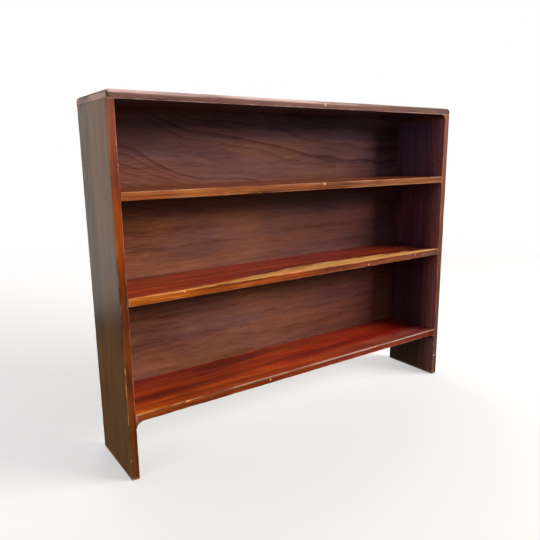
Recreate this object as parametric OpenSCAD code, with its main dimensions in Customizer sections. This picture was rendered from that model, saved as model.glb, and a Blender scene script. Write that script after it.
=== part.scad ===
// Open bookcase with two adjustable shelves.
// Millimetres, +Z up. The origin is on the floor, in the middle of the footprint.
// The front faces -Y and the width runs along X.

/* [Case] */
// Width over the two sides
case_w = 1196; // [700:1:1500]
// Depth of the sides, front edge to back edge
case_d = 220; // [180:1:320]
// Height over the top board
case_h = 965; // [900:1:1200]
// Thickness of every solid board
board_t = 21; // [18:0.5:25]
// Radius on the two outer ends of the top board
end_radius = 12; // [4:0.5:16]

/* [Shelves] */
// Height of the top face of the fixed bottom shelf
bottom_z = 177; // [120:1:220]
// Height of the top face of the middle shelf
middle_z = 480; // [420:1:520]
// Peg positions between the middle shelf and the upper shelf
shelf_steps = 8; // [7:1:9]
// Gap at each end of a loose shelf
end_gap = 0.8; // [0.5:0.1:2]
// Gap between a loose shelf and the back panel
back_gap = 1; // [0.5:0.1:3]

/* [Peg holes] */
// Distance from one peg hole to the next
hole_pitch = 32; // [25:1:32]
// Spare holes above each peg, and as many below it
spare_holes = 2; // [1:1:3]
// Diameter of a peg hole
hole_d = 6.45; // [6.4:0.05:6.5]
// Depth of a peg hole
hole_depth = 15; // [14.5:0.5:16]
// From the front edge of the case to the front row of holes
front_row = 42; // [30:1:60]
// From the back edge of the case to the back row of holes
back_row = 48; // [35:1:70]

/* [Pegs] */
// Diameter of the shank, which sits in the hole
shank_d = 6.35; // [6.3:0.05:6.35]
// Length of the shank
shank_l = 14; // [10:0.5:14]
// Diameter of the head, which carries the shelf
head_d = 9; // [8:0.5:12]
// Length of the head
head_l = 10; // [8:0.5:14]
// Radius on the free end of the head
head_round = 2.5; // [1:0.5:3.5]
// Gap between the head and the shelf above it
peg_gap = 0.3; // [0.2:0.05:0.5]

/* [Back panel] */
// Thickness of the plywood
panel_t = 5; // [4:0.5:6]
// Width of the rebate that the panel lies in
rebate_w = 8; // [6:0.5:10]
// Depth of the rebate, measured from the back edge
rebate_d = 7; // [6:0.5:9]
// Gap all round the panel
panel_gap = 0.5; // [0.2:0.1:1]
// Panel pins up each side
side_pins = 6; // [3:1:9]
// Panel pins along the top board, and as many along the bottom shelf
long_pins = 8; // [4:1:12]
// Diameter of a pin
pin_d = 1.6; // [1.2:0.1:2]
// Length of a pin with its head
pin_l = 16; // [14:1:20]
// Diameter of a pin's head
pin_head_d = 3.2; // [2.5:0.1:4]

/* [Joints of the case] */
// Depth of the housing that holds each end of the bottom shelf
housing_d = 6; // [4:0.5:8]
// How far the housing stops short of the front edge
housing_stop = 12; // [8:1:20]
// Height of the shoulder over the tongue at each end of the bottom shelf
tongue_shoulder = 6; // [4:0.5:9]
// Dowels between the top board and each side
dowel_count = 4; // [2:1:6]
// Diameter of a dowel
dowel_d = 8; // [6:0.5:10]
// Length of a dowel
dowel_l = 32; // [28:1:36]
// Length of a dowel inside the top board
dowel_in_top = 12; // [10:1:13]
// Glue gap round a dowel
glue_gap = 0.05; // [0.02:0.01:0.1]

/* [Cove mouldings] */
// Width and height of a cove
cove_w = 15; // [10:1:20]
// Flat left along each edge of a cove
cove_flat = 1.5; // [1:0.5:3]

/* [Hidden] */

mahogany = "#6e3a26";
ply = "#7a4c42";
beech = "#c8a070";
brass = "#b08a4a";
steel = "#8c8c8c";

round_fn = 48;
cut = 1;                                  // how far a cutter runs past the face it opens
side_h = case_h - board_t;                // height of a side, which stops under the top board
inner_w = case_w - 2 * board_t;           // clear width between the sides
face_x = inner_w / 2;                     // inner face of the right side
front_y = -case_d / 2;
back_y = case_d / 2;
panel_y = back_y - rebate_d;              // front face of the back panel
upper_z = middle_z + shelf_steps * hole_pitch;
shelf_d = case_d - rebate_d - back_gap;
peg_drop = board_t + peg_gap + head_d / 2; // from a shelf's top face down to its pegs' axis
row_y = [front_y + front_row, back_y - back_row];
panel_top = side_h + rebate_w - panel_gap;
panel_bottom = bottom_z - board_t;
tongue_t = board_t - tongue_shoulder;
dowel_step = (case_d - rebate_d) / dowel_count;
pin_inset = rebate_w / 2 - panel_gap;     // from the panel's edge to a row of pins

// A part made for the right-hand side, or its mirror image for the left.
module on_side(side) {
  mirror([side == "left" ? 1 : 0, 0, 0]) children();
}

// ---- boards of the case ----

// Blind holes in the inner face for one shelf: two rows, with spare positions above and below.
module peg_hole_rows(shelf_z) {
  for (y = row_y, i = [-spare_holes : spare_holes])
    translate([face_x - cut, y, shelf_z - peg_drop + i * hole_pitch])
      rotate([0, 90, 0]) cylinder(d = hole_d, h = hole_depth + cut, $fn = round_fn);
}

// Dowels or their holes, standing in a row along the top end of a side.
module dowel_row(diameter, low, high) {
  for (i = [0 : dowel_count - 1])
    translate([face_x + board_t / 2, front_y + (i + 0.5) * dowel_step, low])
      cylinder(d = diameter, h = high - low, $fn = round_fn);
}

module side_board() {
  difference() {
    translate([face_x, front_y, 0]) cube([board_t, case_d, side_h]);
    // rebate for the back panel, down to the floor
    translate([face_x - cut, panel_y, -cut]) cube([rebate_w + cut, rebate_d + cut, side_h + 2 * cut]);
    // stopped housing for the tongue of the bottom shelf
    translate([face_x - cut, front_y + housing_stop, bottom_z - board_t])
      cube([housing_d + cut, case_d, tongue_t]);
    peg_hole_rows(middle_z);
    peg_hole_rows(upper_z);
    dowel_row(dowel_d + 2 * glue_gap, side_h - (dowel_l - dowel_in_top), side_h + cut);
  }
}

module left_side() { color(mahogany) on_side("left") side_board(); }
module right_side() { color(mahogany) on_side("right") side_board(); }

// Section of the top board across its width: a strip with its two upper corners rounded.
module top_section() {
  difference() {
    translate([-case_w / 2, 0]) square([case_w, board_t]);
    for (m = [0, 1]) mirror([m, 0]) difference() {
      translate([case_w / 2 - end_radius, board_t - end_radius]) square(end_radius + cut);
      translate([case_w / 2 - end_radius, board_t - end_radius]) circle(end_radius, $fn = round_fn);
    }
  }
}

module top_board() {
  color(mahogany) difference() {
    translate([0, back_y, side_h]) rotate([90, 0, 0]) linear_extrude(case_d) top_section();
    // rebate for the top edge of the back panel
    translate([-face_x - rebate_w, panel_y, side_h - cut])
      cube([inner_w + 2 * rebate_w, rebate_d + cut, rebate_w + cut]);
    for (side = ["left", "right"])
      on_side(side) dowel_row(dowel_d + 2 * glue_gap, side_h - cut, side_h + dowel_in_top);
  }
}

// The fixed shelf: a tongue at each end sits in the housing, below a shoulder that hides it.
module bottom_shelf() {
  color(mahogany) translate([0, 0, bottom_z - board_t]) {
    translate([-face_x, front_y, 0]) cube([inner_w, case_d - rebate_d, board_t]);
    translate([-face_x - housing_d, front_y + housing_stop, 0])
      cube([inner_w + 2 * housing_d, case_d - rebate_d - housing_stop, tongue_t]);
  }
}

// ---- loose shelves ----

module loose_shelf(top_z) {
  shelf_w = inner_w - 2 * end_gap;
  translate([-shelf_w / 2, front_y, top_z - board_t]) cube([shelf_w, shelf_d, board_t]);
}

module middle_shelf() { color(mahogany) loose_shelf(middle_z); }
module upper_shelf() { color(mahogany) loose_shelf(upper_z); }

// ---- back ----

panel_w = inner_w + 2 * (rebate_w - panel_gap);

module back_panel() {
  color(ply) translate([-panel_w / 2, panel_y, panel_bottom])
    cube([panel_w, panel_t, panel_top - panel_bottom]);
}

// One pin driven forwards, with its head flush in the back of the panel.
module panel_pin(x, z) {
  head_t = 1;
  translate([x, panel_y + panel_t, z]) rotate([90, 0, 0]) {
    cylinder(d = pin_head_d, h = head_t, $fn = 24);
    cylinder(d = pin_d, h = pin_l, $fn = 24);
  }
}

module back_panel_pins() {
  side_x = panel_w / 2 - pin_inset;
  rows_z = [panel_bottom + board_t / 2, panel_top - pin_inset];
  color(steel) {
    for (z = rows_z, i = [0 : long_pins - 1])
      panel_pin(-side_x + (i + 0.5) * 2 * side_x / long_pins, z);
    for (m = [-1, 1], i = [0 : side_pins - 1])
      panel_pin(m * side_x, rows_z[0] + (i + 0.5) * (rows_z[1] - rows_z[0]) / side_pins);
  }
}

// ---- coves ----

// Concave moulding in the upper right corner of an opening whose ceiling is at z.
module corner_cove(z) {
  hollow_r = cove_w - cove_flat;
  translate([face_x, panel_y, z]) rotate([90, 0, 0]) linear_extrude(case_d - rebate_d) difference() {
    translate([-cove_w, -cove_w]) square(cove_w);
    translate([-cove_w, -cove_w]) circle(hollow_r, $fn = round_fn);
  }
}

module top_right_cove() { color(mahogany) on_side("right") corner_cove(side_h); }
module bottom_left_cove() { color(mahogany) on_side("left") corner_cove(bottom_z - board_t); }
module bottom_right_cove() { color(mahogany) on_side("right") corner_cove(bottom_z - board_t); }

// ---- dowels ----

module top_dowels(side) {
  color(beech) on_side(side)
    dowel_row(dowel_d, side_h - (dowel_l - dowel_in_top) + 0.5, side_h + dowel_in_top - 0.5);
}

module top_left_dowels() { top_dowels("left"); }
module top_right_dowels() { top_dowels("right"); }

// ---- pegs ----

// Half outline of a peg, from the tip of its shank to the rounded end of its head.
module peg_outline() {
  square([shank_d / 2, shank_l + cut]);
  translate([0, shank_l]) {
    square([head_d / 2, head_l - head_round]);
    square([head_d / 2 - head_round, head_l]);
    intersection() {
      square([head_d / 2, head_l]);
      translate([head_d / 2 - head_round, head_l - head_round]) circle(head_round, $fn = round_fn);
    }
  }
}

// row is 0 for the front row of holes and 1 for the back row.
module peg(side, row, shelf_z) {
  seat = 0.1;   // the head stands this far off the face of the side
  color(brass) on_side(side)
    translate([face_x + shank_l - seat, row_y[row], shelf_z - peg_drop])
      rotate([0, -90, 0]) rotate_extrude($fn = round_fn) peg_outline();
}

module upper_left_front_peg() { peg("left", 0, upper_z); }
module upper_left_back_peg() { peg("left", 1, upper_z); }
module upper_right_front_peg() { peg("right", 0, upper_z); }
module upper_right_back_peg() { peg("right", 1, upper_z); }
module middle_left_front_peg() { peg("left", 0, middle_z); }
module middle_left_back_peg() { peg("left", 1, middle_z); }
module middle_right_front_peg() { peg("right", 0, middle_z); }
module middle_right_back_peg() { peg("right", 1, middle_z); }

left_side();
right_side();
top_board();
bottom_shelf();
middle_shelf();
upper_shelf();
back_panel();
back_panel_pins();
top_right_cove();
bottom_left_cove();
bottom_right_cove();
top_left_dowels();
top_right_dowels();
upper_left_front_peg();
upper_left_back_peg();
upper_right_front_peg();
upper_right_back_peg();
middle_left_front_peg();
middle_left_back_peg();
middle_right_front_peg();
middle_right_back_peg();
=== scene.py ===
import math
from types import SimpleNamespace

import bmesh
import bpy
import numpy as np
from mathutils import Matrix, Vector


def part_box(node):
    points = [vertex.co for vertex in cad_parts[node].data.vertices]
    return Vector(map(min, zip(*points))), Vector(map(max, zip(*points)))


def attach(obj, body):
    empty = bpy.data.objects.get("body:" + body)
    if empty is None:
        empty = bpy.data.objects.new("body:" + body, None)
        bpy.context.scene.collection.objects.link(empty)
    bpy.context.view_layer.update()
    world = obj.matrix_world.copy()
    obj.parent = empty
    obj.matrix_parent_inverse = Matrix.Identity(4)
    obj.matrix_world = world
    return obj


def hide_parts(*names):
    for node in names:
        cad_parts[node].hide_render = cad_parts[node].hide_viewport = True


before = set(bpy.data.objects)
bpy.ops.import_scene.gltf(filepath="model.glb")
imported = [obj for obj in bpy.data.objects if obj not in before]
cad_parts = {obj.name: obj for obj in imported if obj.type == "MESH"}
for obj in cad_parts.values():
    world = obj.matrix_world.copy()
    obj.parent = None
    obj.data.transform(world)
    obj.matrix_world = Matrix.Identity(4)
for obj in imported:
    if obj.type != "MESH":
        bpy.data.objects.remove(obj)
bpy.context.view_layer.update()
print("frame loaded:", len(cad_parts), "nodes")

mm = 0.001


cameraPlace = {
    "location": (-1.00855, -1.33914, 0.81444),
    "yaw": 34.61,      # degrees to the right of straight back
    "pitch": -11.96,   # degrees above level
    "roll": -0.713,
    "lens": 35.95,
}


def makeCamera(place):
    data = bpy.data.cameras.new("viewCamera")
    data.lens = place["lens"]
    data.sensor_width = 36
    data.clip_start = 0.05
    camera = bpy.data.objects.new("viewCamera", data)
    yaw, pitch = math.radians(place["yaw"]), math.radians(place["pitch"])
    level = math.cos(pitch)
    ahead = Vector((math.sin(yaw) * level, math.cos(yaw) * level, math.sin(pitch)))
    roll = Matrix.Rotation(math.radians(place["roll"]), 3, "Z")
    turn = ahead.to_track_quat("-Z", "Y").to_matrix() @ roll
    camera.matrix_world = Matrix.Translation(place["location"]) @ turn.to_4x4()
    bpy.context.scene.collection.objects.link(camera)
    bpy.context.scene.camera = camera


makeCamera(cameraPlace)

lightPlaces = {
    "windowLight": {
        "location": (3.35, -2.95, 2.0), "aim": (0.0, 0.0, 0.5), "size": (2.8, 1.0),
        "watts": 330, "tint": (1.0, 0.95, 0.90)},
    "leftLight": {
        "location": (-3.4, -0.9, 1.3), "aim": (0.0, 0.0, 0.4), "size": (2.0, 1.6),
        "watts": 42, "tint": (0.93, 0.96, 1.0)},
    "backLight": {
        "location": (0.4, 3.2, 2.2), "aim": (0.0, 0.0, 0.5), "size": (2.0, 2.0),
        "watts": 40, "tint": (1.0, 1.0, 1.0)},
}


def makeLights(places):
    # broad lamps that light the wood but don't mirror in its polish; what it mirrors is the room
    for name, place in places.items():
        data = bpy.data.lights.new(name, "AREA")
        data.shape = "RECTANGLE"
        data.size, data.size_y = place["size"]
        data.energy = place["watts"]
        data.color = place["tint"]
        lamp = bpy.data.objects.new(name, data)
        lamp.visible_glossy = False
        aim = Vector(place["aim"]) - Vector(place["location"])
        turn = aim.to_track_quat("-Z", "Y").to_matrix()
        lamp.matrix_world = Matrix.Translation(place["location"]) @ turn.to_4x4()
        bpy.context.scene.collection.objects.link(lamp)


makeLights(lightPlaces)
print("camera and lights made")


class Wire:
    # a socket's value; the operators add Math nodes

    def __init__(self, tree, socket):
        self.tree, self.socket = tree, socket

    def math(self, operation, *others):
        return node(self.tree, "ShaderNodeMath", {"operation": operation}, dict(enumerate((self,) + others)))

    def __add__(self, other):
        return self.math("ADD", other)

    def __sub__(self, other):
        return self.math("SUBTRACT", other)

    def __rsub__(self, other):
        return node(self.tree, "ShaderNodeMath", {"operation": "SUBTRACT"}, {0: other, 1: self})

    def __mul__(self, other):
        return self.math("MULTIPLY", other)

    def __truediv__(self, other):
        return self.math("DIVIDE", other)

    def __pow__(self, other):
        return self.math("POWER", other)

    def __gt__(self, other):
        return self.math("GREATER_THAN", other)

    __radd__, __rmul__ = __add__, __mul__

    def clamped(self):
        wire = self.math("ADD", 0.0)
        wire.socket.node.use_clamp = True
        return wire

    def step(self, low, high):
        # 0 below low, 1 above high, smooth between
        return node(self.tree, "ShaderNodeMapRange", {"interpolation_type": "SMOOTHSTEP"},
                    {"Value": self, "From Min": low, "From Max": high})


def node(tree, kind, settings=None, inputs=None, out=0):
    # any node: its settings first, then what its sockets hold or are linked to
    made = tree.nodes.new(kind)
    for key, value in (settings or {}).items():
        if key == "stops":
            while len(made.color_ramp.elements) < len(value):
                made.color_ramp.elements.new(0.5)
            for element, (place, colour) in zip(made.color_ramp.elements, value):
                element.position, element.color = place, (*colour, 1)
        else:
            setattr(made, key, value)
    for key, value in (inputs or {}).items():
        socket = made.inputs[key]
        if isinstance(value, Wire):
            tree.links.new(value.socket, socket)
        elif isinstance(value, tuple) and len(value) == 3 and socket.type == "RGBA":
            socket.default_value = (*value, 1)
        else:
            socket.default_value = value
    return Wire(tree, made.outputs[out]) if len(made.outputs) else None


class Paint:
    # one material: shortcuts for the nodes that the finishes share

    def __init__(self, name):
        self.material = bpy.data.materials.new(name)
        self.material.use_nodes = True
        self.tree = self.material.node_tree
        self.tree.nodes.clear()
        self.place = self.node("ShaderNodeTexCoord", out="Object")

    def node(self, kind, settings=None, inputs=None, out=0):
        return node(self.tree, kind, settings, inputs, out)

    def stretched(self, factors, shift=(0, 0, 0)):
        moved = self.node("ShaderNodeVectorMath", {"operation": "ADD"}, {0: self.place, 1: shift})
        return self.node("ShaderNodeVectorMath", {"operation": "MULTIPLY"}, {0: moved, 1: factors})

    def noise(self, vector, scale, detail=2.0, roughness=0.5, distortion=0.0):
        return self.node("ShaderNodeTexNoise", None, {
            "Vector": vector, "Scale": scale, "Detail": detail,
            "Roughness": roughness, "Distortion": distortion})

    def axis(self, letter):
        return self.node("ShaderNodeSeparateXYZ", None, {0: self.place}, out="XYZ".index(letter))

    def past(self, letter, start, end):
        # 0 before start and 1 past end, in either direction along an axis
        share = self.axis(letter).step(min(start, end), max(start, end))
        return share if end > start else 1 - share

    def within(self, limits):
        # 1 where every limit is passed
        share = self.past(*limits[0])
        for limit in limits[1:]:
            share = share * self.past(*limit)
        return share

    def attribute(self, name):
        return self.node("ShaderNodeAttribute", {"attribute_name": name}, out="Fac")

    def ramp(self, value, stops):
        return self.node("ShaderNodeValToRGB", {"stops": stops}, {"Fac": value})

    def mix(self, share, low, high, blend="MIX"):
        settings = {"data_type": "RGBA", "blend_type": blend}
        return self.node("ShaderNodeMix", settings, {0: share, 6: low, 7: high}, out=2)

    def times(self, colour, tint):
        return self.mix(1.0, colour, tint, "MULTIPLY")

    def surface(self, bump=None, bumpHeight=0.0004, **sockets):
        if bump is not None:
            sockets["Normal"] = self.node("ShaderNodeBump", None, {
                "Height": bump, "Distance": bumpHeight, "Strength": 1.0})
        named = {key.replace("_", " "): value for key, value in sockets.items()}
        shader = self.node("ShaderNodeBsdfPrincipled", None, named)
        self.node("ShaderNodeOutputMaterial", None, {"Surface": shader})
        return self.material


floorLook = {
    "tone": (0.82, 0.82, 0.82),
    "radius": 7.0,
    "rings": 24,
    "sectors": 64,
    "fadeFrom": 1.5,
    "fadeTo": 4.0,
    "paleness": 0.4,
    "rug": (0.045, 0.035, 0.022),     # painted glow from the floor near the case, which lights the wood and shows in its polish
    "far": (0.44, 0.41, 0.37),        # and from the floor further away, behind the case
    "farAt": (1.15, 1.85),
}
worldLook = {
    "seen": (1.0, 1.0, 1.0),
    "low": (0.04, 0.035, 0.03),
    "front": (0.13, 0.13, 0.15),
    "window": (0.85, 0.78, 0.74),
    "rear": (0.44, 0.41, 0.37),
    "sky": (1.15, 1.08, 1.02),
    "windowAt": (0.72, -0.63, 0.28),
    "windowEdge": (0.45, 0.95),       # where each part of the room begins and is full
    "horizon": (-0.04, 0.08),
    "skyEdge": (0.14, 0.75),
    "rearEdge": (0.1, 0.5),
}


def makeWorld(look):
    # The camera sees plain white. The object is lit by a room: dim in front, bright towards a window on the
    # right, pale behind, and dark below the horizon.
    world = bpy.data.worlds.new("studio")
    bpy.context.scene.world = world
    world.use_nodes = True
    tree = world.node_tree
    tree.nodes.clear()

    def blend(share, low, high):
        return node(tree, "ShaderNodeMix", {"data_type": "RGBA"}, {0: share, 6: low, 7: high}, out=2)

    towards = node(tree, "ShaderNodeTexCoord", out="Generated")
    back, up = (node(tree, "ShaderNodeSeparateXYZ", None, {0: towards}, out=k) for k in (1, 2))
    dot = {"operation": "DOT_PRODUCT"}
    window = node(tree, "ShaderNodeVectorMath", dot, {0: towards, 1: look["windowAt"]}, out="Value")
    room = blend(window.step(*look["windowEdge"]), look["front"], look["window"])
    room = blend(up.step(*look["horizon"]), look["low"], room)
    behind = blend(up.step(*look["skyEdge"]), look["rear"], look["sky"])
    room = blend(back.step(*look["rearEdge"]), room, behind)
    soft = node(tree, "ShaderNodeBackground", None, {"Color": room, "Strength": 1.0})
    plain = node(tree, "ShaderNodeBackground", None, {"Color": look["seen"], "Strength": 1.0})
    toCamera = node(tree, "ShaderNodeLightPath", out="Is Camera Ray")
    shown = node(tree, "ShaderNodeMixShader", None, {0: toCamera, 1: soft, 2: plain})
    node(tree, "ShaderNodeOutputWorld", None, {"Surface": shown})


def makeFloor(look):
    # rings of growing radius: x, y = r cos a, r sin a; the outer part fades into the background
    rings, sectors = look["rings"], look["sectors"]
    radius = np.linspace(0.0, 1.0, rings + 1)[1:] ** 1.5 * look["radius"]
    angle = np.arange(sectors) * 2 * math.pi / sectors
    x, y = np.outer(radius, np.cos(angle)), np.outer(radius, np.sin(angle))
    points = np.stack([x, y, np.zeros((rings, sectors))], axis=-1)
    index = np.arange(rings * sectors).reshape(rings, sectors)
    turned = np.roll(index, -1, axis=1)
    quads = np.stack([index[:-1], index[1:], turned[1:], turned[:-1]], axis=-1).reshape(-1, 4)
    mesh = bpy.data.meshes.new("floor")
    mesh.from_pydata(points.reshape(-1, 3).tolist(), [], quads.tolist() + [index[0].tolist()])
    floor = bpy.data.objects.new("floor", mesh)
    bpy.context.scene.collection.objects.link(floor)
    paint = Paint("paleFloor")

    def blend(share, first, second):
        return paint.node("ShaderNodeMixShader", None, {0: share, 1: first, 2: second})

    away = paint.node("ShaderNodeVectorMath", {"operation": "LENGTH"}, {0: paint.place}, out="Value")
    matte = paint.node("ShaderNodeBsdfDiffuse", None, {"Color": look["tone"]})
    white = paint.node("ShaderNodeEmission", None, {"Color": (1.0, 1.0, 1.0)})
    clear = paint.node("ShaderNodeBsdfTransparent")
    # the floor glows with painted room light for every ray but the camera's: dark near the case, paler behind
    # it
    beyond = paint.axis("Y").step(*look["farAt"])
    glow = paint.node("ShaderNodeEmission", None, {"Color": paint.mix(beyond, look["rug"], look["far"])})
    pale = blend(look["paleness"], matte, white)
    faded = blend(away.step(look["fadeFrom"], look["fadeTo"]), pale, clear)
    toCamera = paint.node("ShaderNodeLightPath", out="Is Camera Ray")
    paint.node("ShaderNodeOutputMaterial", None, {"Surface": blend(toCamera, glow, faded)})
    mesh.materials.append(paint.material)


makeWorld(worldLook)
makeFloor(floorLook)
bpy.context.scene.view_settings.view_transform = "Standard"
print("floor and background made")


def smooth(value):
    # 0 at 0 and below, 1 at 1 and above, with level ends
    value = np.clip(value, 0, 1)
    return value * value * (3 - 2 * value)


def drift(seed, waves, *axes):
    # smooth noise, about -1 to 1: a sum of sine waves with seeded directions, one wavelength for each axis
    rng = np.random.default_rng(seed)
    total = 0.0
    for _ in range(9):
        swing = sum(rng.normal() * 2 * math.pi / wave * axis for wave, axis in zip(waves, axes))
        total = total + np.sin(swing + rng.uniform(0, 2 * math.pi))
    return total / 4.2


def spread(breaks, steps):
    # values from the first break to the last, about one step apart, that hit every break
    parts = [np.linspace(start, end, max(1, round((end - start) / step)), endpoint=False)
             for start, end, step in zip(breaks, breaks[1:], steps)]
    return np.append(np.concatenate(parts), breaks[-1])


def outlineOf(corners, arcSteps=4):
    # A closed outline, walked anticlockwise. Each corner is (u, v, radius, distances of the points on the
    # edge after it). A rounded corner is a quarter circle whose normal turns from one edge's to the next's.
    where = np.array([c[:2] for c in corners], float)
    edge = np.roll(where, -1, axis=0) - where
    length = np.linalg.norm(edge, axis=1)
    edge = edge / length[:, None]
    out = np.stack([edge[:, 1], -edge[:, 0]], axis=1)
    points, normals = [], []
    for i, (u, v, radius, distances) in enumerate(corners):
        turn = np.linspace(0, math.pi / 2, arcSteps + 1)[:, None]
        if radius:
            centre = where[i] - edge[i - 1] * radius + edge[i] * radius
            normal = np.cos(turn) * out[i - 1] + np.sin(turn) * out[i]
            points.append(centre + radius * normal)
        else:
            normal = (out[i - 1] + out[i])[None]
            points.append(where[i][None])
        normals.append(normal)
        nextRadius = corners[(i + 1) % len(corners)][2]
        distances = np.array([d for d in distances if radius + 1e-6 < d < length[i] - nextRadius - 1e-6])
        points.append(where[i] + distances[:, None] * edge[i])
        normals.append(np.repeat(out[i][None], len(distances), axis=0))
    rounded = np.array([c[:2] for c in corners if c[2]], float)
    points, normals = np.concatenate(points), np.concatenate(normals)
    near = np.linalg.norm(points[:, None] - rounded[None], axis=2).min(axis=1)
    return points, normals, near


def rounding(end, radius):
    # how far a quarter circle lies below the face at a distance from the end: r - sqrt(r^2 - (r - end)^2)
    return radius - np.sqrt(np.clip(radius**2 - np.clip(radius - end, 0, None) ** 2, 0, None))


def carry(outline, stations, endRadius):
    # The outline carried along a straight line. Each vertex is its outline point moved in along its normal
    # by inset, so a larger inset near the ends rounds them.
    points, normals, near = outline
    arc = endRadius * (1 - np.cos(np.linspace(0, math.pi / 2, 4)))
    stations = np.unique(np.round(np.concatenate([stations[0] + arc, stations, stations[-1] - arc]), 6))
    rows, columns = len(stations), len(points)
    board = SimpleNamespace()
    board.u, board.v = (np.repeat(points[None, :, k], rows, axis=0) for k in (0, 1))
    board.nu, board.nv = (np.repeat(normals[None, :, k], rows, axis=0) for k in (0, 1))
    board.t = np.repeat(stations[:, None], columns, axis=1)
    board.end = np.minimum(board.t - stations[0], stations[-1] - board.t)
    board.near = np.minimum(np.repeat(near[None], rows, axis=0), board.end)
    board.inset = rounding(board.end, endRadius)
    board.worn = np.zeros((rows, columns))
    board.bare = np.zeros((rows, columns))
    return board


ageLook = {
    "bow": 0.15 * mm,
    "level": 6 * mm,          # the drift dies out this close to an end
    "rub": 0.5 * mm,
    "rubWidth": 2.2 * mm,
    "paleWidth": 3.0 * mm,
}


def age(board, seed, look=ageLook):
    # hand-planed faces that drift by a tenth of a millimetre, and arrises rubbed down by uneven amounts
    faces = np.clip(0.5 + 0.5 * drift(seed, (0.09, 0.05, 0.14), board.u, board.v, board.t), 0, 1)
    rubbed = np.clip(0.5 + 0.7 * drift(seed + 1, (0.4, 0.4, 0.10), board.u, board.v, board.t), 0, 1.4)
    edge = np.exp(-((board.near / look["rubWidth"]) ** 2))
    board.inset += look["bow"] * smooth(board.end / look["level"]) * faces + look["rub"] * edge * rubbed
    # paler arrises: partly rubbed wear, partly painted highlight
    pale = np.exp(-((board.near / look["paleWidth"]) ** 2))
    board.worn = np.clip(pale * (0.35 + 0.65 * rubbed), 0, 1)


def chip(board, flake, *spot):
    # a flake lost at (u, v, t): an ellipsoid of influence with a ragged rim and a flat floor
    axes = zip((board.u, board.v, board.t), spot, flake["size"])
    far = np.sqrt(sum(((where - middle) / (half * mm)) ** 2 for where, middle, half in axes))
    seed = int(abs(spot[2]) * 1e4) + 3
    far = far * (1.15 + 0.4 * drift(seed, (6 * mm, 6 * mm, 5 * mm), board.u, board.v, board.t))
    board.inset += flake["depth"] * mm * smooth((1 - far) / 0.35)
    board.bare = np.maximum(board.bare, smooth((1.05 - far) / 0.3))


def meshOf(name, board, order, holes=None):
    # quads between neighbouring outline points and stations, a flat cap at each end, and a bore for each hole
    rows, columns = board.t.shape
    coords = {"u": board.u - board.nu * board.inset, "v": board.v - board.nv * board.inset, "t": board.t}
    points = np.stack([coords[letter] for letter in order], axis=-1).reshape(-1, 3)
    index = np.arange(rows * columns).reshape(rows, columns)
    turned = np.roll(index, -1, axis=1)
    quads = np.stack([index[:-1], turned[:-1], turned[1:], index[1:]], axis=-1)
    keep = np.ones(quads.shape[:2], bool)
    faces, extra = [index[0, ::-1].tolist(), index[-1].tolist()], []
    for hole in holes or []:
        (c0, c1), (r0, r1) = hole["columns"], hole["rows"]
        keep[r0:r1, c0:c1] = False
        ring = np.concatenate(
            [index[r0, c0:c1], index[r0:r1, c1], index[r1, c1:c0:-1], index[r1:r0:-1, c0]])
        arm = points[ring] - hole["centre"]
        arm[:, 0] = 0
        arm /= np.linalg.norm(arm, axis=1)[:, None]
        start = len(points) + sum(len(e) for e in extra)
        radius, rim = hole["radius"], hole["rim"]
        levels = [(radius + rim, 0.0), (radius, rim), (radius, hole["depth"])]
        extra.append(np.concatenate(
            [hole["centre"] + arm * wide + np.array([deep, 0, 0]) for wide, deep in levels]))
        count = len(ring)
        loops = [ring] + [start + k * count + np.arange(count) for k in range(3)]
        for a, b in zip(loops, loops[1:]):
            faces += np.stack([a, np.roll(a, -1), np.roll(b, -1), b], axis=-1).tolist()
        faces.append(loops[-1].tolist())
    mesh = bpy.data.meshes.new(name)
    mesh.from_pydata(np.concatenate([points] + extra).tolist(), [], quads[keep].tolist() + faces)
    pad = len(mesh.vertices) - len(points)
    for key in ("worn", "bare", "figure"):
        values = getattr(board, key, None)
        if values is not None:
            layer = mesh.attributes.new(key, "FLOAT", "POINT")
            layer.data.foreach_set("value", np.append(values.ravel(), np.zeros(pad)).astype(np.float32))
    return mesh


def addPiece(name, mesh, material, body, nodes):
    # normals are made to point outwards, and only real corners stay sharp
    shell = bmesh.new()
    shell.from_mesh(mesh)
    bmesh.ops.recalc_face_normals(shell, faces=shell.faces)
    shell.to_mesh(mesh)
    shell.free()
    mesh.polygons.foreach_set("use_smooth", np.ones(len(mesh.polygons), bool))
    mesh.set_sharp_from_angle(angle=math.radians(38))
    mesh.materials.append(material)
    piece = bpy.data.objects.new(name, mesh)
    bpy.context.scene.collection.objects.link(piece)
    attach(piece, body)
    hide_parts(*nodes)
    print("made", name, len(mesh.polygons), "faces")


mahoganyLook = {
    "dark": (0.030, 0.006, 0.003),
    "mid": (0.16, 0.036, 0.012),
    "light": (0.34, 0.10, 0.022),
    # the pale arris colour: rubbed wear, and painted highlight along the arrises
    "worn": (0.56, 0.30, 0.16),
    "bareDark": (0.34, 0.11, 0.025),
    "bare": (0.78, 0.37, 0.085),
    "barePale": (0.94, 0.60, 0.26),
    # pale colour of marks along arrises and joints: partly dust, partly painted highlight and light
    "dust": (0.42, 0.33, 0.29),
    # painted shade colour for marks
    "gloomy": (0.05, 0.022, 0.010),
    "rough": 0.34,
    "polish": 0.6,
    "relief": 0.00035,
    "stretch": 24.0,      # how much finer the grain is across than along
    "ribbonScale": 1.3,
    "streakScale": 7.0,
    "hairScale": 42.0,
    "cloudScale": 7.0,
    "poreScale": 900.0,
    "patchScale": 2.6,
    "pithAway": 0.11,
    "ringsPerMetre": 95.0,
    "contrast": 1.15,
    # how much of the pale arris colour, wear and painted highlight, is mixed in
    "rub": 0.75,
    "amber": (1.45, 2.1, 1.2),
    "gloom": (0.5, 0.42, 0.6),
    "patchy": 0.5,
    "matte": [],          # limits past which the wood has no polish
}


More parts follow.
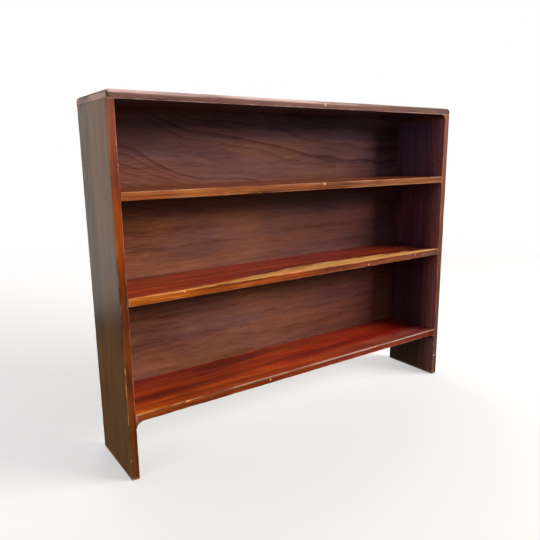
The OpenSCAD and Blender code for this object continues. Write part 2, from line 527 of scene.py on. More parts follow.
def mahogany(name, grain, seed, regions=(), marks=(), **changes):
    # Stained and polished mahogany. Noise stretched along the grain gives ribbons, streaks and fibres; growth
    # rings are cylinders round a pith that is off centre; arrises are paler, partly rubbed wear and partly
    # painted highlight, and bare wood shows where the attribute says so. Each region is (limits, tint axis,
    # stops): past all its limits, each (axis, from, to), the colour is multiplied by a ramp along the tint
    # axis, and some of these ramps paint light, shade and reflections onto the wood. Each mark is (colour,
    # streak from, streak to, limits).
    look = {**mahoganyLook, **changes}
    paint = Paint(name)

    def scales(across, along):
        return tuple(along if letter == grain else across for letter in "XYZ")

    shift = (seed * 1.37, seed * 0.71, seed * 2.13)
    fibre = paint.stretched(scales(look["stretch"], 1.0), shift)
    ribbon = paint.noise(fibre, look["ribbonScale"], 2.5, 0.55, 0.35)
    streak = paint.noise(fibre, look["streakScale"], 5.0, 0.62, 0.15)
    hair = paint.noise(fibre, look["hairScale"], 2.0, 0.5)
    cloud = paint.noise(paint.stretched((1, 1, 1), shift), look["cloudScale"], 2.0)
    pores = paint.noise(paint.stretched(scales(1.0, 0.07), shift), look["poreScale"], 1.0).step(0.62, 0.74)
    away = paint.stretched(scales(1.0, 0.05), scales(look["pithAway"], 0.0))
    radius = paint.node("ShaderNodeVectorMath", {"operation": "LENGTH"}, {0: away}, out="Value")
    rings = (radius * look["ringsPerMetre"] + streak * 1.6 + ribbon * 2.2).math("FRACT").step(0.0, 1.0)
    tone = ribbon * 0.50 + streak * 0.50 + hair * 0.18 + rings * 0.10 + cloud * 0.16 - 0.72
    tone = tone * look["contrast"] + 0.52
    colour = paint.ramp(tone, [(0.28, look["dark"]), (0.52, look["mid"]), (0.78, look["light"])])
    patch = paint.noise(paint.stretched(scales(5.0, 1.0), shift), look["patchScale"], 4.0, 0.6)
    warm, cool = patch.step(0.50, 0.68), 1 - patch.step(0.34, 0.50)
    colour = paint.mix(warm * look["patchy"], colour, paint.times(colour, look["amber"]))
    colour = paint.mix(cool * look["patchy"], colour, paint.times(colour, look["gloom"]))
    for limits, tintAxis, stops in regions:
        spot = paint.axis(tintAxis) + (cloud - 0.5) * 0.06 + (streak - 0.5) * 0.03
        low, high = stops[0][0], stops[-1][0]
        tint = paint.ramp((spot - low) / (high - low), [((t - low) / (high - low), c) for t, c in stops])
        colour = paint.mix(paint.within(limits), colour, paint.times(colour, tint))
    colour = paint.mix(pores * 0.45, colour, look["dark"])
    # paler arrises: partly rubbed wear, partly painted highlight
    worn = (paint.attribute("worn") * 1.3 + (streak - 0.5) * 1.1 + (cloud - 0.5) * 0.9 - 0.30).clamped()
    colour = paint.mix(worn * look["rub"], colour, look["worn"])
    bareTone = paint.ramp(streak * 0.55 + ribbon * 0.25 + hair * 0.35 - 0.06, [
        (0.34, look["bareDark"]), (0.50, look["bare"]), (0.68, look["barePale"])])
    bare = paint.attribute("bare") * 1.38 + (streak - 0.5) * 3.0 + (hair - 0.5) * 0.8 - 0.42
    bare = bare.step(0.05, 0.85)
    colour = paint.mix(bare, colour, bareTone)
    for kind, low, high, limits in marks:
        share = (streak * 0.8 + cloud * 0.5).step(low, high) * paint.within(limits)
        colour = paint.mix(share * 0.8, colour, look[kind])
    matte = 0.0
    for limit in look["matte"]:
        matte = paint.past(*limit) + matte
    dull = (cloud - 0.5) * 0.22 + (streak - 0.5) * 0.16 + worn * 0.15
    shine = look["polish"] * (1 - bare) * (1 - worn * 0.6) + (cloud - 0.5) * 0.3
    return paint.surface(
        bump=hair * 0.35 + streak * 0.25 - pores * 0.5 - bare * 0.3, bumpHeight=look["relief"],
        Base_Color=colour,
        Roughness=(look["rough"] + dull + bare * 0.25 + matte * 0.4).clamped(),
        Coat_Weight=(shine * (1 - matte)).clamped(),
        Coat_Roughness=0.16,
        Specular_IOR_Level=0.45)


arris = 1.3 * mm


def shelfOutline(low, high, topRadius=arris):
    # across a shelf, front to back: close points near the front edge, wider ones behind
    depth, thick = high.y - low.y, high.z - low.z
    fine = spread([0, 90 * mm, depth], [2.2 * mm, 9 * mm])
    coarse = spread([0, depth], [14 * mm])
    front = spread([0, thick], [2.0 * mm])
    corners = [
        (low.y, low.z, arris, coarse),
        (high.y, low.z, arris, front),
        (high.y, high.z, arris, depth - fine),
        (low.y, high.z, topRadius, front),
    ]
    return outlineOf([(u, v, r, sorted(d)) for u, v, r, d in corners])


shelfLook = {
    "step": 2.2 * mm,
    "trim": 6 * mm,           # cut off each end of the bottom shelf, whose tongues stay hidden in the sides
    "endRadius": 0.6 * mm,
    # in chips, dy counts back from the front edge and dz up from the top face
    "chips": {
        "upper_shelf": [
            {"x": 0.040, "dy": 0.0, "dz": -2.0, "size": (2.0, 9.0, 5.0), "depth": 0.5},
            {"x": -0.190, "dy": 0.0, "dz": -21.0, "size": (2.5, 2.5, 9.0), "depth": 0.6},
            {"x": 0.055, "dy": 0.0, "dz": -21.0, "size": (2.5, 2.0, 6.0), "depth": 0.5},
            {"x": -0.050, "dy": 1.0, "dz": 0.0, "size": (3.0, 2.0, 14.0), "depth": 0.4},
        ],
        "middle_shelf": [
            {"x": -0.427, "dy": 0.5, "dz": -1.5, "size": (5.0, 4.5, 9.0), "depth": 0.9},
            {"x": 0.231, "dy": 0.0, "dz": -15.0, "size": (2.5, 4.5, 4.0), "depth": 0.8},
            {"x": 0.455, "dy": 0.0, "dz": -9.0, "size": (2.0, 3.0, 3.0), "depth": 0.5},
            {"x": -0.300, "dy": 1.0, "dz": 0.0, "size": (3.5, 2.5, 30.0), "depth": 0.4},
        ],
        "bottom_shelf": [
            {"x": -0.430, "dy": 0.5, "dz": -1.0, "size": (4.0, 4.0, 8.0), "depth": 0.8},
            {"x": -0.163, "dy": 0.0, "dz": -11.0, "size": (2.0, 5.0, 2.5), "depth": 0.7},
            {"x": 0.020, "dy": 0.5, "dz": -1.0, "size": (3.0, 3.0, 6.0), "depth": 0.7},
            {"x": 0.270, "dy": 1.0, "dz": 0.0, "size": (3.0, 3.0, 24.0), "depth": 0.5},
        ],
    },
}

# how far back the middle shelf is worn to bare wood, as (share of its width, millimetres)
wornBand = [
    (0.0, 3), (0.05, 6), (0.12, 8), (0.15, 16), (0.22, 24), (0.30, 36), (0.36, 46),
    (0.45, 62), (0.60, 72), (0.76, 60), (0.88, 42), (0.96, 24), (1.0, 10)]


def wearBand(board, low, high, band):
    share = (board.t - low.x) / (high.x - low.x)
    places, depths = zip(*band)
    depth = np.interp(share, places, depths) * mm
    ragged = drift(41, (0.16, 0.012), board.t, board.u) * 0.20
    ragged = ragged + drift(42, (0.05, 0.005), board.t, board.u) * 0.12
    back = board.u - low.y
    inside = smooth((depth * (1 + ragged) - back) / (depth * 0.75) + 0.30)
    board.bare = np.maximum(board.bare, inside * (board.nv > 0.35) * smooth(depth / (22 * mm) + 0.42))
    board.inset += 0.4 * mm * inside * np.exp(-((back / (12 * mm)) ** 2)) * (board.nv > 0.1)


def makeShelf(name, body, look, material, seed):
    low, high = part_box(name)
    trim = look["trim"] if name == "bottom_shelf" else 0
    stations = spread([low.x + trim, high.x - trim], [look["step"]])
    board = carry(shelfOutline(low, high), stations, look["endRadius"])
    age(board, seed)
    for flake in look["chips"][name]:
        chip(board, flake, low.y + flake["dy"] * mm, high.z + flake["dz"] * mm, flake["x"])
    if name == "middle_shelf":
        wearBand(board, low, high, wornBand)
    mesh = meshOf(name, board, "tuv")
    addPiece(name.replace("_shelf", "_board"), mesh, material, body, [name])


frontFace = [("Y", -0.1065, -0.1085)]   # what lies in front of this is a front edge
behindFront = [("Y", -0.2, -0.1)]
shelfFinish = {
    "upper_shelf": {
        "seed": 3, "light": (0.44, 0.10, 0.020), "mid": (0.25, 0.048, 0.011), "polish": 0.3, "patchy": 0.35,
        "regions": [
            (frontFace, "X", [(-0.58, (1.2, 1.5, 1.3)), (0.0, (1.0, 1.45, 1.8)), (0.58, (0.8, 1.35, 2.2))])]},
    "middle_shelf": {
        "seed": 5, "light": (0.48, 0.060, 0.012), "mid": (0.25, 0.022, 0.006), "polish": 0.25,
        "patchy": 0.8, "contrast": 0.95,
        "regions": [
            # painted light and shade on the top: lighter at the left end, darker and bluer at the right end
            (behindFront, "X", [
                (-0.58, (1.6, 1.6, 1.0)), (-0.40, (1.4, 1.25, 1.05)), (0.0, (1.4, 1.15, 1.15)),
                (0.35, (1.08, 1.0, 1.2)), (0.58, (0.5, 0.8, 1.6))]),
            (frontFace, "X", [
                (-0.58, (0.84, 1.7, 0.8)), (-0.05, (0.92, 2.1, 1.25)), (0.05, (0.5, 1.2, 1.5)),
                (0.30, (0.65, 1.7, 2.4)), (0.58, (0.75, 2.0, 3.4))])]},
    "bottom_shelf": {
        "seed": 8, "light": (0.62, 0.085, 0.006), "mid": (0.33, 0.022, 0.003), "polish": 0.4,
        "patchy": 0.9, "contrast": 0.85,
        "regions": [
            # painted shade on the top: darker and bluer at the right end
            (behindFront, "X", [
                (-0.58, (1.15, 1.2, 1.0)), (-0.30, (1.0, 1.1, 1.0)), (0.0, (1.15, 1.0, 1.0)),
                (0.30, (0.95, 0.6, 1.2)), (0.58, (0.55, 0.42, 1.3))]),
            ([("Y", 0.00, 0.07)], "X", [
                (-0.58, (0.62, 0.35, 1.5)), (-0.20, (0.75, 0.5, 1.2)), (0.0, (1.0, 1.5, 1.0)),
                (0.58, (0.9, 0.8, 1.2))]),
            ([("Y", -0.03, -0.07)], "X", [
                (-0.58, (1.35, 2.3, 1.2)), (-0.25, (1.25, 2.0, 1.2)), (-0.05, (1.0, 1.3, 1.5)),
                (0.30, (0.85, 2.4, 7.0)), (0.58, (0.8, 2.2, 7.0))]),
            (frontFace, "X", [
                (-0.58, (0.42, 0.48, 1.7)), (-0.05, (0.52, 0.75, 1.2)), (0.58, (0.70, 0.38, 0.14))])],
        # pale lines where the shelf meets the right side and the back, and along its front arris: partly
        # dust, partly painted light
        "marks": [
            ("dust", 0.42, 0.75, [("X", 0.5735, 0.5760), ("Z", 0.1745, 0.1765)]),
            ("dust", 0.42, 0.75, [("Y", 0.0990, 0.1015), ("Z", 0.1745, 0.1765), ("X", 0.10, 0.35)]),
            ("dust", 0.42, 0.75, [("Y", -0.1060, -0.1080), ("Z", 0.1725, 0.1750), ("X", -0.50, -0.10)])]},
}
shelfPlan = (
    ("upper_shelf", "upper_shelf", 11), ("middle_shelf", "middle_shelf", 21), ("bottom_shelf", "case", 31))
for shelfName, shelfBody, shelfSeed in shelfPlan:
    materialName = shelfName.split("_")[0] + "ShelfMahogany"
    shelfMaterial = mahogany(materialName, "X", **shelfFinish[shelfName])
    makeShelf(shelfName, shelfBody, shelfLook, shelfMaterial, shelfSeed)


topLook = {
    "endRadius": 12 * mm,
    "cutRadius": 0.6 * mm,        # the sawn ends before they are bent down
    "frontRadius": 4.5 * mm,
    "rubWidth": 3.4 * mm,         # of the pale line along the front, rubbed wear and painted highlight, which fades towards the right
    "rebate": (7 * mm, 8 * mm),   # depth from the back edge, height
    "rebateEnd": 585 * mm,        # it stops short of both ends
    "chips": [
        {"x": 0.040, "dy": 0.0, "dz": -8.0, "size": (2.0, 8.0, 4.5), "depth": 0.6},
        {"x": 0.048, "dy": 1.5, "dz": 0.0, "size": (5.0, 3.0, 8.0), "depth": 0.7},
        {"x": -0.33, "dy": 0.5, "dz": -0.5, "size": (3.0, 3.0, 7.0), "depth": 0.5},
        {"x": 0.30, "dy": 0.0, "dz": -21.0, "size": (2.0, 2.0, 16.0), "depth": 0.4},
    ],
}


def makeTop(look, material):
    # An outline with a rebate, then both ends bent down: z shrinks towards the underside by a quarter circle.
    low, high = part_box("top_board")
    depth, thick = high.y - low.y, high.z - low.z
    back, rise = look["rebate"]
    corners = [
        (low.y, low.z, arris, spread([0, depth - back], [10 * mm])),
        (high.y - back, low.z, 0, spread([0, rise], [4 * mm])),
        (high.y - back, low.z + rise, 0, spread([0, back], [3 * mm])),
        (high.y, low.z + rise, arris, spread([0, thick - rise], [3 * mm])),
        (high.y, high.z, arris, spread([0, depth], [5 * mm])),
        (low.y, high.z, look["frontRadius"], spread([0, thick], [2 * mm])),
    ]
    radius = look["endRadius"]
    curve = radius * (1 - np.cos(np.linspace(0, math.pi / 2, 13)))
    stop = look["rebateEnd"]
    straight = spread([low.x + radius, -stop - 0.05 * mm, -stop, stop, stop + 0.05 * mm, high.x - radius],
                      [2.4 * mm, 1, 2.4 * mm, 1, 2.4 * mm])
    stations = np.concatenate([low.x + curve, straight[1:-1], high.x - curve[::-1]])
    board = carry(outlineOf(corners), stations, look["cutRadius"])
    age(board, 51)
    # Past its ends the rebate is filled: its wall is laid down into the underside and its ceiling turned up
    # into the back.
    u, v = board.u - (high.y - back), board.v - low.z
    filled = (np.abs(board.t) > stop + 0.01 * mm) & (u > -1e-6) & (v < rise + 1e-6)
    wall = filled & (np.abs(u) < 1e-6)
    ceiling = filled & ~wall & (np.abs(v - rise) < 1e-6)
    board.u, board.v = np.where(wall, board.u + v / rise * back, board.u), np.where(wall, low.z, board.v)
    board.u, board.v = np.where(ceiling, high.y, board.u), np.where(ceiling, low.z + u / back * rise, board.v)
    board.inset = np.where(wall | ceiling, 0, board.inset)
    for flake in look["chips"]:
        chip(board, flake, low.y + flake["dy"] * mm, high.z + flake["dz"] * mm, flake["x"])
    # the pale line along the front arris, partly rubbed wear and partly painted highlight, fading towards the
    # right
    fromArris = np.hypot(board.u - low.y, board.v - high.z)
    rubAndHighlightHere = 0.80 - 0.60 * smooth((board.t + 0.05) / 0.40)
    board.worn = np.maximum(board.worn, rubAndHighlightHere * np.exp(-((fromArris / look["rubWidth"]) ** 2)))
    drop = rounding(board.end, radius)
    board.v = low.z + (board.v - low.z) * (1 - drop / thick)
    board.worn = np.maximum(board.worn, 0.12 * smooth(1 - board.end / radius) * (board.nv > 0.2))
    addPiece("topBoard", meshOf("topBoard", board, "tuv"), material, "case", ["top_board"])


topFinish = {
    "seed": 13, "light": (0.26, 0.10, 0.060), "mid": (0.14, 0.045, 0.030), "polish": 0.85, "rough": 0.3,
    "contrast": 0.9, "worn": (0.70, 0.48, 0.42), "rub": 0.9, "dust": (0.80, 0.56, 0.52),
    "matte": [("X", -0.586, -0.592), ("X", 0.586, 0.592)],
    "regions": [
        ([("X", -0.584, -0.592)], "Y", [(-0.11, (0.50, 0.85, 0.55)), (0.11, (0.45, 0.80, 0.55))]),
        ([("X", 0.20, 0.55)], "Y", [(-0.11, (0.75, 0.85, 0.85)), (0.11, (0.85, 0.9, 0.9))]),
        # painted shade: the underside is bluer towards the right
        ([("Z", 0.9458, 0.9446)], "X", [(-0.58, (0.9, 1.1, 1.3)), (0.58, (0.9, 2.0, 4.0))])],
    # a pale line along the front arris on the left half: painted highlight, partly dust
    "marks": [("dust", 0.36, 0.80, [
        ("Z", 0.9545, 0.9600), ("Y", -0.1025, -0.1045), ("X", -0.594, -0.588), ("X", 0.35, -0.05)])],
}
topMaterial = mahogany("topMahogany", "X", **topFinish)
makeTop(topLook, topMaterial)


sideLook = {
    "step": 2.4 * mm,
    "holeRadius": 3.225 * mm,
    "holeDepth": 15 * mm,
    "holeRim": 0.5 * mm,
    "holeSquare": 6 * mm,       # half the square of finer faces round a hole
    "holePitch": 32 * mm,
    "spare": 2,
    "rebate": (8 * mm, 7 * mm),  # width, depth from the back edge
    "endRadius": 0.8 * mm,
    "footWear": 14 * mm,
    # in chips, in counts from the inner face outwards and back from the front edge
    "leftChips": [
        {"z": 0.300, "in": 21.0, "back": 1.0, "size": (4.0, 4.0, 12.0), "depth": 1.0},
        {"z": 0.250, "in": 21.0, "back": 0.5, "size": (2.0, 2.5, 30.0), "depth": 0.5},
        {"z": 0.170, "in": 21.0, "back": 0.5, "size": (2.0, 2.0, 22.0), "depth": 0.4},
        {"z": 0.055, "in": 21.0, "back": 1.0, "size": (3.5, 3.5, 9.0), "depth": 0.9},
        {"z": 0.002, "in": 20.0, "back": 1.0, "size": (7.0, 5.0, 5.0), "depth": 1.2},
        {"z": 0.845, "in": 0.0, "back": 0.5, "size": (2.5, 2.5, 6.0), "depth": 0.6},
        {"z": 0.800, "in": 0.0, "back": 0.5, "size": (2.0, 2.0, 4.0), "depth": 0.5},
    ],
    "rightChips": [
        {"z": 0.120, "in": 0.0, "back": 0.0, "size": (2.5, 2.5, 12.0), "depth": 0.6},
        {"z": 0.075, "in": 9.0, "back": 0.0, "size": (9.0, 2.0, 2.0), "depth": 0.5},
        {"z": 0.050, "in": 0.0, "back": 0.0, "size": (2.5, 2.5, 10.0), "depth": 0.6},
        {"z": 0.012, "in": 1.0, "back": 0.5, "size": (4.0, 3.0, 6.0), "depth": 0.8},
    ],
}


def makeSide(side, look, material, seed):
    # A side, worked out as the right one with x growing outwards and mirrored for the left: an outline with a
    # rebate, carried from the floor to the top board, with rows of blind holes in its inner face.
    low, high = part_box(side + "_side")
    inner, outer = sorted((abs(low.x), abs(high.x)))
    wide, deep = look["rebate"]
    pegs = {row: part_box(f"middle_{side}_{row}_peg") for row in ("front", "back")}
    rowY = [(pegs[row][0].y + pegs[row][1].y) / 2 for row in ("front", "back")]
    half = look["holeSquare"]
    centresZ = []
    for shelf in ("middle", "upper"):
        pegLow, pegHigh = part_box(f"{shelf}_{side}_front_peg")
        steps = np.arange(-look["spare"], look["spare"] + 1) * look["holePitch"]
        centresZ += list((pegLow.z + pegHigh.z) / 2 + steps)
    yBreaks = [low.y, low.y + 24 * mm] + [y + k * half for y in rowY for k in (-1, 1)] + [high.y - deep]
    innerLines = spread(yBreaks, [2.4 * mm, 6 * mm, 2 * mm, 12 * mm, 2 * mm, 12 * mm])
    outerLines = spread([0, 24 * mm, high.y - low.y], [2.4 * mm, 8 * mm])
    thick = outer - inner
    corners = [
        (inner, low.y, arris, spread([0, thick], [2.0 * mm])),
        (outer, low.y, arris, outerLines),
        (outer, high.y, arris, spread([0, thick - wide], [3 * mm])),
        (inner + wide, high.y, arris, spread([0, deep], [3 * mm])),
        (inner + wide, high.y - deep, 0, spread([0, wide], [3 * mm])),
        (inner, high.y - deep, 0, sorted((high.y - deep) - innerLines)),
    ]
    zBreaks = [low.z] + [z + k * half for z in centresZ for k in (-1, 1)] + [high.z]
    gaps = [look["step"]] * (len(zBreaks) - 1)
    gaps[1::2] = [2 * mm] * len(centresZ)
    board = carry(outlineOf(corners), spread(zBreaks, gaps), look["endRadius"])
    age(board, seed)
    for flake in look[side + "Chips"]:
        chip(board, flake, inner + flake["in"] * mm, low.y + flake["back"] * mm, flake["z"])
    foot = smooth(1 - board.t / look["footWear"])
    board.worn = np.maximum(board.worn, 0.8 * foot)
    onFace = np.abs(board.u[0] - inner) < 1e-6
    holes = []
    for y in rowY:
        lines = [onFace & (np.abs(board.v[0] - (y + k * half)) < 1e-5) for k in (1, -1)]
        columns = [int(np.flatnonzero(line)[0]) for line in lines]
        for z in centresZ:
            rows = [int(np.argmin(np.abs(board.t[:, 0] - (z + k * half)))) for k in (-1, 1)]
            holes.append({"columns": columns, "rows": rows, "centre": np.array([inner, y, z]),
                          "radius": look["holeRadius"], "depth": look["holeDepth"], "rim": look["holeRim"]})
            # the faces round a hole are kept flat so that its rim is true
            board.inset[rows[0]:rows[1] + 1, columns[0]:columns[1] + 1] = 0
    mesh = meshOf(side + "Side", board, "uvt", holes)
    if side == "left":
        mesh.transform(Matrix.Scale(-1, 4, (1, 0, 0)))
    addPiece(side + "Side", mesh, material, "case", [side + "_side"])


sideFinish = {
    "left": {
        "seed": 17, "light": (0.40, 0.17, 0.06), "mid": (0.20, 0.084, 0.032), "patchy": 0.12,
        "contrast": 0.5, "rub": 0.42,
        # painted shade on the outer face: a dark patch near the back about a third of the way up, the dark
        # edge of the reflection in the polish
        "marks": [("gloomy", 0.52, 0.66, [("Y", 0.015, 0.05), ("X", -0.590, -0.594), ("Z", 0.30, 0.42)])],
        "regions": [
            ([("X", -0.586, -0.580)], "Z", [(0.0, (0.80, 0.50, 0.45)), (0.944, (0.95, 0.50, 0.45))]),
            # painted shade on the outer face in a band near 0.45 m, where the reflection in the polish turns
            # dark
            ([("X", -0.5925, -0.5965)], "Z", [
                (0.0, (1.1, 1.1, 1.1)), (0.32, (1.1, 1.1, 1.05)), (0.45, (0.62, 0.62, 0.55)),
                (0.62, (0.92, 0.92, 0.9)), (0.944, (1.0, 1.0, 1.0))]),
            # painted highlight up the front edge: bright orange between about 0.55 and 0.72 m, where the
            # polish mirrors warm light, with lighter and darker bands below
            (frontFace, "Z", [
                (0.0, (0.55, 0.36, 0.35)), (0.13, (0.55, 0.34, 0.22)), (0.21, (1.0, 0.55, 0.25)),
                (0.27, (0.55, 0.30, 0.22)), (0.34, (1.05, 0.58, 0.22)), (0.42, (0.58, 0.32, 0.26)),
                (0.51, (0.85, 0.40, 0.14)), (0.60, (1.65, 0.74, 0.03)), (0.70, (1.5, 0.66, 0.12)),
                (0.76, (0.9, 0.45, 0.42)), (0.90, (1.25, 0.68, 0.55)), (0.944, (0.9, 0.60, 0.8))])]},
    "right": {
        "seed": 23, "light": (0.46, 0.17, 0.14), "mid": (0.27, 0.085, 0.080), "patchy": 0.3,
        "contrast": 0.7, "rub": 0.6,
        "regions": [
            ([("X", 0.589, 0.595)], "Z", [
                (0.0, (0.50, 0.60, 0.26)), (0.5, (0.58, 0.64, 0.30)), (0.944, (0.58, 0.66, 0.34))]),
            (frontFace, "Z", [
                (0.0, (0.38, 0.55, 0.45)), (0.5, (0.55, 0.6, 0.42)), (0.944, (0.75, 0.65, 0.40))]),
            # painted shade: behind its front band the inner face is darkened, and bluer higher up
            ([("Y", -0.098, -0.030), ("X", 0.586, 0.580)], "Z", [
                (0.0, (0.20, 0.26, 0.18)), (0.15, (0.20, 0.26, 0.18)), (0.2, (0.16, 0.14, 0.19)),
                (0.45, (0.24, 0.22, 0.38)), (0.60, (0.36, 0.26, 0.50)), (0.76, (0.34, 0.38, 0.66)),
                (0.944, (0.34, 0.60, 1.15))])]},
}
for side, sideSeed in (("left", 61), ("right", 71)):
    makeSide(side, sideLook, mahogany(side + "SideMahogany", "Z", **sideFinish[side]), sideSeed)


coveLook = {"flat": 1.5 * mm, "arcSteps": 14, "step": 6 * mm, "endRadius": 0.5 * mm, "wornWidth": 2 * mm}


def makeCove(name, look, material, seed):
    # A square with a quarter circle scooped out of the corner that faces the opening, carried from front to
    # back.
    low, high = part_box(name)
    side = -1 if low.x < 0 else 1
    size = high.x - low.x
    angle = np.linspace(0, math.pi / 2, look["arcSteps"])
    scoop = size - look["flat"]
    arc = np.stack([-size + scoop * np.cos(angle), -size + scoop * np.sin(angle)], axis=1)
    shape = np.concatenate([[(0, 0)], [(-size, 0)], arc[::-1], [(0, -size)]])
    shape[:, 0] = side * (shape[:, 0] + max(abs(low.x), abs(high.x)))
    shape[:, 1] += high.z
    normals = np.zeros_like(shape)
    normals[2:-1] = np.stack([-side * np.cos(angle), -np.sin(angle)], axis=1)[::-1]
    stations = spread([low.y, high.y], [look["step"]])
    noArris = np.full(len(shape), 1.0)
    board = carry((shape, normals, noArris), stations, look["endRadius"])
    board.worn = np.exp(-((board.end / look["wornWidth"]) ** 2)) * 0.6
    label = "".join(part.capitalize() for part in name.split("_"))
    mesh = meshOf(name, board, "utv")
    addPiece(label[0].lower() + label[1:], mesh, material, "case", [name])


coveFinish = {"seed": 29, "light": (0.22, 0.065, 0.022), "mid": (0.11, 0.030, 0.012), "rub": 0.5}
coveMaterial = mahogany("coveMahogany", "Y", **coveFinish)
for coveName in ("top_right_cove", "bottom_left_cove", "bottom_right_cove"):
    makeCove(coveName, coveLook, coveMaterial, 81)


backLook = {
    "step": 4.8 * mm,
    "edge": 0.4 * mm,
    "ringGap": 22 * mm,
    "pale": (0.27, 0.100, 0.068),
    "mid": (0.165, 0.056, 0.037),
    "dark": (0.062, 0.016, 0.011),
    "rust": (1.18, 1.12, 0.85),       # warmer patches
    "plum": (0.82, 0.90, 1.15),       # cooler ones
    "raw": (0.42, 0.27, 0.15),
    # where a tint holds, and its colours from left to right. Most paint light and shade: the compartment
    # above the middle shelf lighter on the left and darker on the right, a painted shadow under the top board
    # at the left, and bluish painted shade along the very top
    "tints": [
        ([("Z", 0.50, 0.47)], [
            (0.0, (0.98, 1.12, 1.2)), (0.5, (1.12, 1.22, 1.15)), (1.0, (1.0, 0.85, 0.65))]),
        ([("Z", 0.47, 0.50), ("Z", 0.76, 0.72)], [
            (0.0, (1.32, 1.42, 1.2)), (0.5, (0.78, 0.88, 1.0)), (1.0, (0.74, 0.76, 0.85))]),
        ([("Z", 0.72, 0.76)], [
            (0.0, (0.98, 1.12, 1.35)), (0.5, (0.80, 0.98, 1.28)), (1.0, (0.92, 1.15, 1.4))]),
        ([("Z", 0.81, 0.85), ("Z", 0.93, 0.89), ("X", -0.20, -0.45)], [
            (0.0, (0.52, 0.47, 0.46)), (1.0, (1.0, 1.0, 1.0))]),
        ([("Z", 0.90, 0.93)], [(0.0, (1.5, 1.9, 2.2)), (1.0, (1.4, 2.2, 3.0))]),
    ],
    # painted shade: darker and bluer towards the right, where the right side keeps light off the back
    "aged": [
        (0.0, (1.0, 1.0, 0.95)), (0.45, (0.90, 0.92, 0.95)), (0.70, (0.62, 0.62, 0.68)),
        (0.86, (0.70, 0.70, 0.85)), (1.0, (0.85, 0.85, 1.1))],
}


def veneer(look):
    # Rotary-cut veneer. The figure attribute counts growth rings: each fades up to a thin dark line and drops
    # back to pale, some rings hardly show, and the lines wander with the grain.
    paint = Paint("veneerBack")
    fibre = paint.stretched((1.0, 14.0, 14.0), (3.1, 0.4, 1.7))
    streak = paint.noise(fibre, 2.6, 7.0, 0.68, 0.5)
    hair = paint.noise(fibre, 22.0, 4.0, 0.62)
    cloud = paint.noise(paint.stretched((1, 2, 2)), 3.5, 3.0)
    upper = paint.axis("Z").step(0.66, 0.74)
    count = paint.attribute("figure") + (streak - 0.5) * (1.2 - upper * 0.8) + (hair - 0.5) * 0.08
    part = count.math("FRACT")
    single = {"noise_dimensions": "1D"}
    chance = paint.node("ShaderNodeTexWhiteNoise", single, {"W": count.math("FLOOR")}, out="Value")
    line = (part ** (12.0 - upper * 6.5) + (1 - part) ** 40.0).clamped()
    fades = paint.noise(paint.stretched((1, 1, 2)), 4.0, 2.0).step(0.30, 0.62)
    line = line * (chance * 0.8 + 0.2) * fades * (0.35 + upper * 0.65)
    shade = part ** 2.0 * (chance - 0.2)
    tone = streak * 0.52 + hair * 0.42 + cloud * 0.44 - 0.18 - shade * (upper * 0.14 + 0.12)
    colour = paint.ramp(tone, [(0.28, look["dark"]), (0.48, look["mid"]), (0.74, look["pale"])])
    hue = paint.noise(paint.stretched((1, 5, 5), (0.7, 0, 0.3)), 3.0, 3.0, 0.6)
    colour = paint.mix(hue.step(0.50, 0.66), colour, paint.times(colour, look["rust"]))
    colour = paint.mix(1 - hue.step(0.36, 0.50), colour, paint.times(colour, look["plum"]))
    # painted shade: the back darkens and turns bluer towards the right
    aged = paint.ramp(paint.axis("X") + 0.5 + (cloud - 0.5) * 0.2, look["aged"])
    colour = paint.times(colour, aged)
    spot = paint.axis("X") + 0.5 + (cloud - 0.5) * 0.25
    for limits, stops in look["tints"]:
        colour = paint.mix(paint.within(limits), colour, paint.times(colour, paint.ramp(spot, stops)))
    colour = paint.mix(line * 0.85, colour, look["dark"])
    rear = paint.axis("Y") > (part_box("back_panel")[0].y + 2 * mm)
    darkRaw, midRaw, lineRaw = (tuple(c * share for c in look["raw"]) for share in (0.38, 0.8, 0.30))
    rawTone = paint.ramp(streak * 0.5 + hair * 0.35 + cloud * 0.3 - 0.07, [
        (0.30, darkRaw), (0.50, midRaw), (0.72, look["raw"])])
    colour = paint.mix(rear, colour, paint.mix(line * 0.9, rawTone, lineRaw))
    return paint.surface(
        bump=hair * 0.5 - line * 0.4, bumpHeight=0.0002,
        Base_Color=colour,
        Roughness=(0.48 + (cloud - 0.5) * 0.3 + rear * 0.25).clamped(),
        Coat_Weight=((1 - rear) * 0.08).clamped(),
        Coat_Roughness=0.3,
        Specular_IOR_Level=0.25)


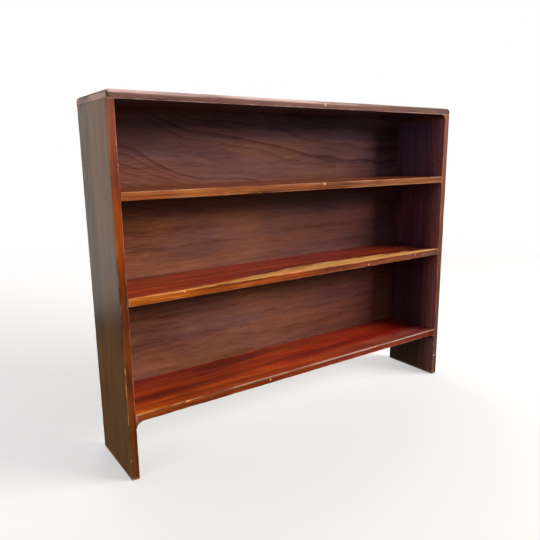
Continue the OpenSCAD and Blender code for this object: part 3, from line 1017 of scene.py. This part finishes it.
def makeBack(look, material):
    # A thin sheet, edges barely broken. The figure is height above the floor, bent down by smooth steps as x
    # grows, more so high up, plus slow waves, all divided by the width of a growth ring.
    low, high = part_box("back_panel")
    thick = high.y - low.y
    tall = spread([0, high.z - low.z], [look["step"]])
    corners = [
        (low.y, low.z, look["edge"], [thick / 2]),
        (high.y, low.z, look["edge"], tall),
        (high.y, high.z, look["edge"], [thick / 2]),
        (low.y, high.z, look["edge"], tall),
    ]
    board = carry(outlineOf(corners, 2), spread([low.x, high.x], [look["step"]]), look["edge"])
    x, z = board.t, board.v
    fall = smooth((x + 0.54) / 0.32) * 0.115 + smooth((x + 0.25) / 0.55) * 0.05
    lift = smooth((z - 0.62) / 0.16)
    slow = drift(91, (0.9, 0.30), x, z) * 0.022 + drift(92, (0.34, 0.12), x, z) * 0.008
    board.figure = (z + fall * lift + slow) / look["ringGap"]
    addPiece("backSheet", meshOf("backSheet", board, "tuv"), material, "case", ["back_panel"])


makeBack(backLook, veneer(backLook))


def metal(name, tone, stain, rough):
    # dull metal with soft tarnish and fine turned lines
    paint = Paint(name)
    cloud = paint.noise(paint.place, 160.0, 3.0, 0.6)
    lines = paint.noise(paint.stretched((6, 1, 1)), 900.0, 1.0)
    return paint.surface(
        bump=lines * 0.5 + cloud * 0.5, bumpHeight=0.00004,
        Base_Color=paint.mix(cloud.step(0.4, 0.7), tone, stain),
        Roughness=(rough + (cloud - 0.5) * 0.35).clamped(),
        Metallic=1.0)


def bareTimber(name):
    paint = Paint(name)
    fibre = paint.noise(paint.stretched((14, 14, 1)), 30.0, 3.0)
    return paint.surface(
        bump=fibre, bumpHeight=0.0001,
        Base_Color=paint.ramp(fibre, [(0.35, (0.36, 0.22, 0.11)), (0.65, (0.58, 0.40, 0.23))]),
        Roughness=0.6)


fittings = {
    "peg": metal("pegBrass", (0.60, 0.42, 0.17), (0.22, 0.13, 0.05), 0.34),
    "pins": metal("pinSteel", (0.34, 0.33, 0.32), (0.12, 0.08, 0.06), 0.45),
    "dowels": bareTimber("dowelBeech"),
}
for nodeName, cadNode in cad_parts.items():
    kind = nodeName.split("_")[-1]
    if kind in fittings:
        cadNode.data.materials.clear()
        cadNode.data.materials.append(fittings[kind])
